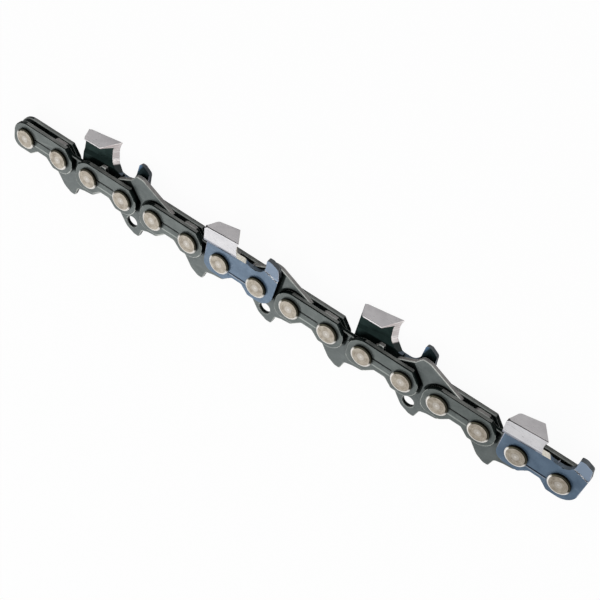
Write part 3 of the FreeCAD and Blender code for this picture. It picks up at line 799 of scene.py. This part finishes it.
# %% Dress the cutters
CUTTER_EDGE_RADIUS = 0.16 * MM
INNER_SLOPE = 0.3 / 4.58
FILING = math.radians(29.8)
BEND = 4.15
BEND_SLOPE = math.tan(math.radians(3.5))
GAUGE_START, GAUGE_FOLD = 5.8, 5.5
GROUND_REAR, GROUND_LIFT = -3.2, 0.25
CUTTER_GROOVE = (-3, 0)
INNER_TILT, GROUND_TILT, TOP_TILT = -0.9, 0.3, 0.93
FREE_EDGE_DEPTH, FOLD_DEPTH = 0.55, 0.4
CUTTER_FINISHES = [blue_plate, blue_wall, cutter_edge, black_inside, plated_wall, plated_top, fold_line,
                   near_ground, plated_edge, gauge_inside, black_wall, dark_edge, gauge_wall]
(BLUE, WALL, EDGE, INSIDE, PLATED, TOP, FOLD, GROUND, TOP_EDGE, GAUGE_INSIDE, DARK_WALL,
 DARK_CUTTER_EDGE, GAUGE_WALL) = range(len(CUTTER_FINISHES))


def cutter_finish(centres, normals):
    """The finish of each face of a cutter, by where it lies and where it looks."""
    x, y, z = centres.T
    forward, up, outward = normals.T
    ahead = x - CORNER[0]
    top = CORNER[1] + ahead * TOP_SLOPE - np.clip(CORNER[2] - z, 0, 5) * INNER_SLOPE
    bend = BEND + ahead * BEND_SLOPE
    behind_gauge = x < GAUGE_START

    choice = np.where(np.abs(outward) < SHEARED, WALL, EDGE)
    # Painted shade: walls that look ahead are black, and rounded edges that look up and out are dark.
    choice = np.where((choice == WALL) & (forward > FRONT_WALL), DARK_WALL, choice)
    choice = np.where((choice == EDGE) & (up > 0.3) & (outward > 0), DARK_CUTTER_EDGE, choice)
    choice = np.where(outward > ROLLED, BLUE, choice)
    # Painted shade: the inside is black.
    choice = np.where(outward < INNER_TILT, INSIDE, choice)
    low, high = CUTTER_GROOVE
    groove = (np.abs(x) < GROOVE_HALF[0]) & (y > low) & (y < high) & (outward > GROOVE_TILT)
    choice = np.where(groove, BLUE, choice)

    raised = (y > bend) & behind_gauge
    choice = np.where(raised & (outward > 0.5), PLATED, choice)
    choice = np.where(raised & ((outward < -0.05) | (up < -0.4)), INSIDE, choice)
    free_edge = (z < 0) & (y > top - FREE_EDGE_DEPTH) & (outward < -0.3)
    choice = np.where(free_edge, TOP_EDGE, choice)
    along_stone = forward * math.cos(FILING) - outward * math.sin(FILING)
    ground = raised & (along_stone > GROUND_TILT) & (forward > 0.2) & (x > GROUND_REAR)
    ground = ground & (y > bend + GROUND_LIFT)
    choice = np.where(ground, GROUND, choice)
    # Painted shade along the fold under the top, and the top's painted reflection.
    near_top = (y > top - FOLD_DEPTH) & (up > 0.3) & behind_gauge & ~ground
    choice = np.where(near_top, FOLD, choice)
    choice = np.where(near_top & (up > TOP_TILT), TOP, choice)

    gauge = (x > GAUGE_START) & (y > GAUGE_FOLD)
    choice = np.where(gauge & (outward > -INNER_TILT), BLUE, choice)
    choice = np.where(gauge & (outward < INNER_TILT), GAUGE_INSIDE, choice)
    choice = np.where(gauge & (choice == DARK_CUTTER_EDGE), EDGE, choice)
    return np.where(gauge & ((choice == WALL) | (choice == DARK_WALL)), GAUGE_WALL, choice)


for node in sorted(nodes):
    if "cutter" in node:
        side = -1 if node.startswith("far") else 1
        piece = rounded_copy(node, node + "_tooth", CUTTER_EDGE_RADIUS, "ABSOLUTE")
        keep_own_place(piece, side)
        finishes = list(CUTTER_FINISHES)
        if side < 0:
            finishes[GROUND] = far_ground
        finish_faces(piece, finishes, cutter_finish(*face_arrays(piece, side)))
print(sum("cutter" in n for n in nodes), "cutters dressed")

# %% [markdown]
# Each rivet's head is spun down by a roller, which leaves a turned rim, faint rings and a small
# dimple in the middle. The rim gets a painted highlight, and on the side of the teeth the rim and the
# foot of the head are painted black as shade, with a paler band of painted reflection round the foot.
# The dimple's middle gets a painted shine. All of this depends only on the distance from the rivet's
# axis and on the side, so the colours are worked out from those two.

# %% Finish of the rivets
RING_FINENESS = 7.0
DIMPLE_RING = 0.42
BRIGHT_RIM = (2.11, 2.2)
SHADE_FROM = (2.08, 2.14)
DIMPLE_SHINE = (1.0, 0.35)
FOOT_RADIUS = 2.36
RIVET_RELIEF = 0.04 * MM


def make_rivet_steel():
    """Warm bright steel with stains and rings round the axis, a painted highlight on the rim and painted
    shade on the side of the teeth.
    """
    material, tree, shader = start_material("spun rivet", 0.35)
    _, (x, y, _) = own_place(tree)
    radius = maths(tree, "SQRT", maths(tree, "ADD", product(tree, x, x), product(tree, y, y)))
    ring_place = add(tree, "ShaderNodeCombineXYZ", X=product(tree, radius, RING_FINENESS)).outputs[0]
    rings = noise(tree, ring_place, 1.0, 2.0)
    stains = noise(tree, add(tree, "ShaderNodeTexCoord").outputs["Object"], 900.0, 5.0, 0.7)
    warm = mix(tree, between(tree, stains, 0.38, 0.62), (128, 116, 100), (172, 163, 148))
    tree.links.new(warm, shader.inputs["Base Color"])
    paint_over(material, product(tree, between(tree, rings, 0.45, 0.6), 0.35), (196, 190, 178))
    # Painted shine in the dimple's middle.
    paint_over(material, between(tree, radius, *DIMPLE_SHINE), (200, 196, 190))
    paint_over(material, between(tree, off(tree, radius, DIMPLE_RING), 0.2, 0.05), (178, 170, 158))
    # Painted highlight on the rim.
    paint_over(material, between(tree, radius, *BRIGHT_RIM), (233, 229, 223))
    # Painted shade on the side of the teeth, with a paler band of painted reflection round the foot.
    tooth_side = maths(tree, "DIVIDE", maths(tree, "MULTIPLY_ADD", x, 0.35, y), radius)
    shade_side = product(tree, between(tree, tooth_side, 0.0, 0.3), between(tree, radius, *SHADE_FROM))
    gloss = between(tree, off(tree, radius, FOOT_RADIUS), 0.14, 0.08)
    paint_black(material, shade_side, mix(tree, gloss, (16, 16, 13), (84, 82, 68)))
    tree.links.new(between(tree, rings, 0.3, 0.7, 0.3, 0.46), shader.inputs["Roughness"])
    height = maths(tree, "ADD", rings, product(tree, stains, 0.6))
    bump = add(tree, "ShaderNodeBump", Height=height, Strength=0.35, Distance=RIVET_RELIEF)
    tree.links.new(bump.outputs[0], shader.inputs["Normal"])
    return material


rivet_face = make_rivet_steel()
# Painted shade: the head's wall is dark.
rivet_wall = plain_steel("rivet wall", (22, 22, 18), (44, 40, 32), (110, 100, 82), 0.4, 1.0, relief=0.3)
print("in all", len(bpy.data.materials), "finishes")

# %% [markdown]
# A rivet is turned, so it is a surface of revolution: a profile of radius and height, carried round
# the axis. The hub fills the drive link's hole, the neck stands in the plate, and the head's wall
# leans out to its brow before it turns in over the face. The same profile makes both halves, one
# turned over. It keeps the solid's steps and adds the round brow, a fine groove and the dimple.

# %% Turn the rivets
AROUND = 72
HUB, NECK, BASE, BROW, RIM = 2.3, 1.8, 2.5, 2.55, 2.15
PLATE_INSIDE, PLATE_OUTSIDE, BROW_HEIGHT, HEAD_HEIGHT = 0.6, 1.65, 0.5, 0.68
GROOVE_RADIUS, GROOVE_WIDTH, GROOVE_DEPTH = 1.45, 0.1, 0.015
DIMPLE_RADIUS, DIMPLE_DEPTH = 0.75, 0.02
WALL_LIMIT = 0.6
RIVET_SHARP = math.radians(40)


def rivet_profile():
    """Radius and height of one half of a rivet, from its middle out to the head, in millimetres.

    Brow: radius from BROW to RIM, height a quarter sine from BROW_HEIGHT to HEAD_HEIGHT. Face:
    height lowered by a bell curve about GROOVE_RADIUS and by a raised cosine within DIMPLE_RADIUS.
    """
    step = np.linspace(0, 1, 6)
    brow_radius = BROW - (BROW - RIM) * step
    brow_height = BROW_HEIGHT + (HEAD_HEIGHT - BROW_HEIGHT) * np.sin(step * math.pi / 2)
    face_radius = np.linspace(RIM, 0, 24)[1:]
    groove = -GROOVE_DEPTH * np.exp(-(((face_radius - GROOVE_RADIUS) / GROOVE_WIDTH) ** 2))
    bowl = -DIMPLE_DEPTH * (1 + np.cos(math.pi * face_radius / DIMPLE_RADIUS)) / 2
    face_height = HEAD_HEIGHT + groove + np.where(face_radius < DIMPLE_RADIUS, bowl, 0)
    radius = np.concatenate([[HUB, HUB, NECK, NECK, BASE], brow_radius, face_radius])
    shank = [0, PLATE_INSIDE, PLATE_INSIDE, PLATE_OUTSIDE, PLATE_OUTSIDE]
    height = np.concatenate([shank, PLATE_OUTSIDE + brow_height, PLATE_OUTSIDE + face_height])
    return radius, height


def turned_rivet(name, place):
    """Both halves of a rivet as one closed surface: the profile swept through a full turn.

    At angle t a point of the profile goes to (radius cos t, radius sin t, height). The two ends of
    the profile lie on the axis, so each is one point with a fan of triangles round it.
    """
    radius, height = rivet_profile()
    radius = np.concatenate([radius[::-1], radius[1:]])
    height = np.concatenate([-height[::-1], height[1:]])
    rows = len(radius)
    angle = np.arange(AROUND) * 2 * math.pi / AROUND
    ring = np.stack([np.outer(radius, np.cos(angle)), np.outer(radius, np.sin(angle)),
                     np.repeat(height[:, None], AROUND, axis=1)], axis=-1)
    points = np.concatenate([ring[1:-1].reshape(-1, 3), [[0, 0, height[0]], [0, 0, height[-1]]]])
    row, step = np.meshgrid(np.arange(rows - 3), np.arange(AROUND), indexing="ij")
    after = (step + 1) % AROUND
    quads = np.stack([row * AROUND + step, row * AROUND + after, (row + 1) * AROUND + after,
                      (row + 1) * AROUND + step], axis=-1).reshape(-1, 4)
    around, beside = np.arange(AROUND), (np.arange(AROUND) + 1) % AROUND
    last = (rows - 3) * AROUND
    low_tip, high_tip = len(points) - 2, len(points) - 1
    low_fan = np.stack([np.full(AROUND, low_tip), beside, around], axis=-1)
    high_fan = np.stack([np.full(AROUND, high_tip), last + around, last + beside], axis=-1)
    faces = quads.tolist() + low_fan.tolist() + high_fan.tolist()
    mesh = bpy.data.meshes.new(name)
    mesh.from_pydata((points * MM + place).tolist(), [], faces)
    own = mesh.attributes.new("own_place", "FLOAT_VECTOR", "POINT")
    own.data.foreach_set("vector", points.ravel().astype(np.float32))
    mesh.polygons.foreach_set("use_smooth", np.ones(len(mesh.polygons), bool))
    return mesh


for node in RIVETS:
    piece = show(node + "_turned", turned_rivet(node + "_turned", rivet_place[node]), body_of[node])
    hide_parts(node)
    normals = np.empty(len(piece.data.polygons) * 3)
    piece.data.polygons.foreach_get("normal", normals)
    is_wall = np.abs(normals.reshape(-1, 3)[:, 2]) < WALL_LIMIT
    finish_faces(piece, [rivet_face, rivet_wall], is_wall.astype(int))
    piece.data.set_sharp_from_angle(angle=RIVET_SHARP)
print(len(RIVETS), "rivets turned, each with", len(piece.data.polygons), "faces")

# %% [markdown]
# The photo was taken from in front and above with a long lens. The camera here was worked out from
# the rivet centres, so the render lies over the photo. Its turn is a rotation vector, whose length
# is the angle, and the rows of the matrix are the picture's right, down and forward directions.

# %% Camera
PHOTO_SIDE = 600
FOCAL_PIXELS = 1271.6
CAMERA_TURN = Vector((-2.28709, -0.51042, 0.62812))
CAMERA_PLACE = Vector(middles["inner_link_4"]) + Vector((82.927, 192.619, 170.047)) * MM
SENSOR = 36.0
CLIP = (0.01, 20)

turn = Matrix.Rotation(CAMERA_TURN.length, 3, CAMERA_TURN.normalized())
right, down, ahead = turn.row[0], turn.row[1], turn.row[2]
lens = bpy.data.cameras.new("long lens")
lens.sensor_width = SENSOR
lens.lens = FOCAL_PIXELS / PHOTO_SIDE * SENSOR
lens.clip_start, lens.clip_end = CLIP
camera = bpy.data.objects.new("camera", lens)
bpy.context.scene.collection.objects.link(camera)
axes = Matrix((right, -down, -ahead)).transposed()
camera.matrix_world = Matrix.Translation(CAMERA_PLACE) @ axes.to_4x4()
bpy.context.scene.camera = camera
print("lens", round(lens.lens, 1), "mm")

# %% [markdown]
# The floor is a large pale sheet. To the camera it shows mostly as plain white, which gives the
# photo's background, while part of its light still comes from the lamps and keeps the shadow.

# %% Floor
FLOOR_HALF = 3.0
WHITE_SHARE = 0.95
WHITE = (255, 255, 255)
PALE_GREY = (243.45, 243.45, 243.45)
floor_mesh = bpy.data.meshes.new("floor")
corners = [(x * FLOOR_HALF, y * FLOOR_HALF, 0) for x, y in ((-1, -1), (1, -1), (1, 1), (-1, 1))]
floor_mesh.from_pydata(corners, [], [(0, 1, 2, 3)])
floor = bpy.data.objects.new("floor", floor_mesh)
bpy.context.scene.collection.objects.link(floor)

floor_paint = bpy.data.materials.new("floor paint")
floor_paint.use_nodes = True
tree = floor_paint.node_tree
tree.nodes.clear()
matt = add(tree, "ShaderNodeBsdfDiffuse", Color=PALE_GREY)
glow = add(tree, "ShaderNodeEmission", Color=WHITE, Strength=1.0)
share = product(tree, add(tree, "ShaderNodeLightPath").outputs["Is Camera Ray"], WHITE_SHARE)
blend = add(tree, "ShaderNodeMixShader", Fac=share)
tree.links.new(matt.outputs[0], blend.inputs[1])
tree.links.new(glow.outputs[0], blend.inputs[2])
add(tree, "ShaderNodeOutputMaterial", Surface=blend.outputs[0])
floor_mesh.materials.append(floor_paint)
print("floor", 2 * FLOOR_HALF, "m wide")

# %% [markdown]
# The light is a plain white room with two soft lamps in it. Low down on the tang side the room is bright,
# which lights the lower edges over their painted highlight, and overhead it is dimmer, so that edges
# that look up and away, which are painted dark too, stay dark. The camera itself sees plain white there.

# %% Light
DIM, BRIGHT, TANG_SIDE_GAIN = 0.34, 0.8, 0.9
world = bpy.data.worlds.new("white room")
bpy.context.scene.world = world
world.use_nodes = True
tree = world.node_tree
tree.nodes.clear()
direction = add(tree, "ShaderNodeSeparateXYZ", Vector=add(tree, "ShaderNodeTexCoord").outputs["Generated"])
low_down = between(tree, direction.outputs[2], 0.6, 0.05)
tang_side = between(tree, direction.outputs[1], 0.2, -0.8)
tooth_side = between(tree, direction.outputs[1], 0.0, 0.8, DIM, BRIGHT)
room = maths(tree, "MULTIPLY_ADD", product(tree, low_down, tang_side), TANG_SIDE_GAIN, tooth_side)
paths = add(tree, "ShaderNodeLightPath")
seen = maths(tree, "MAXIMUM", paths.outputs["Is Camera Ray"], paths.outputs["Is Transmission Ray"])
strength = maths(tree, "MAXIMUM", room, seen)
sky = add(tree, "ShaderNodeBackground", Color=WHITE, Strength=strength)
add(tree, "ShaderNodeOutputWorld", Surface=sky.outputs[0])


def softbox(name, towards, distance, size, power):
    """A square lamp out along a direction from the chain's middle, turned to look back at it.

    distance and size are in metres and power is in watts.
    """
    lamp = bpy.data.lights.new(name, "AREA")
    lamp.size = size
    lamp.energy = power
    made = bpy.data.objects.new(name, lamp)
    bpy.context.scene.collection.objects.link(made)
    out = Vector(towards).normalized()
    facing = out.to_track_quat("Z", "Y").to_matrix().to_4x4()
    made.matrix_world = Matrix.Translation(out * distance) @ facing


softbox("key", towards=(-0.4, -0.55, 0.75), distance=0.7, size=0.5, power=1.5)
softbox("fill", towards=(0.85, 0.35, 0.4), distance=0.9, size=0.6, power=2.8)
bpy.context.scene.view_settings.view_transform = "Standard"
print(len(bpy.data.lights), "lamps")
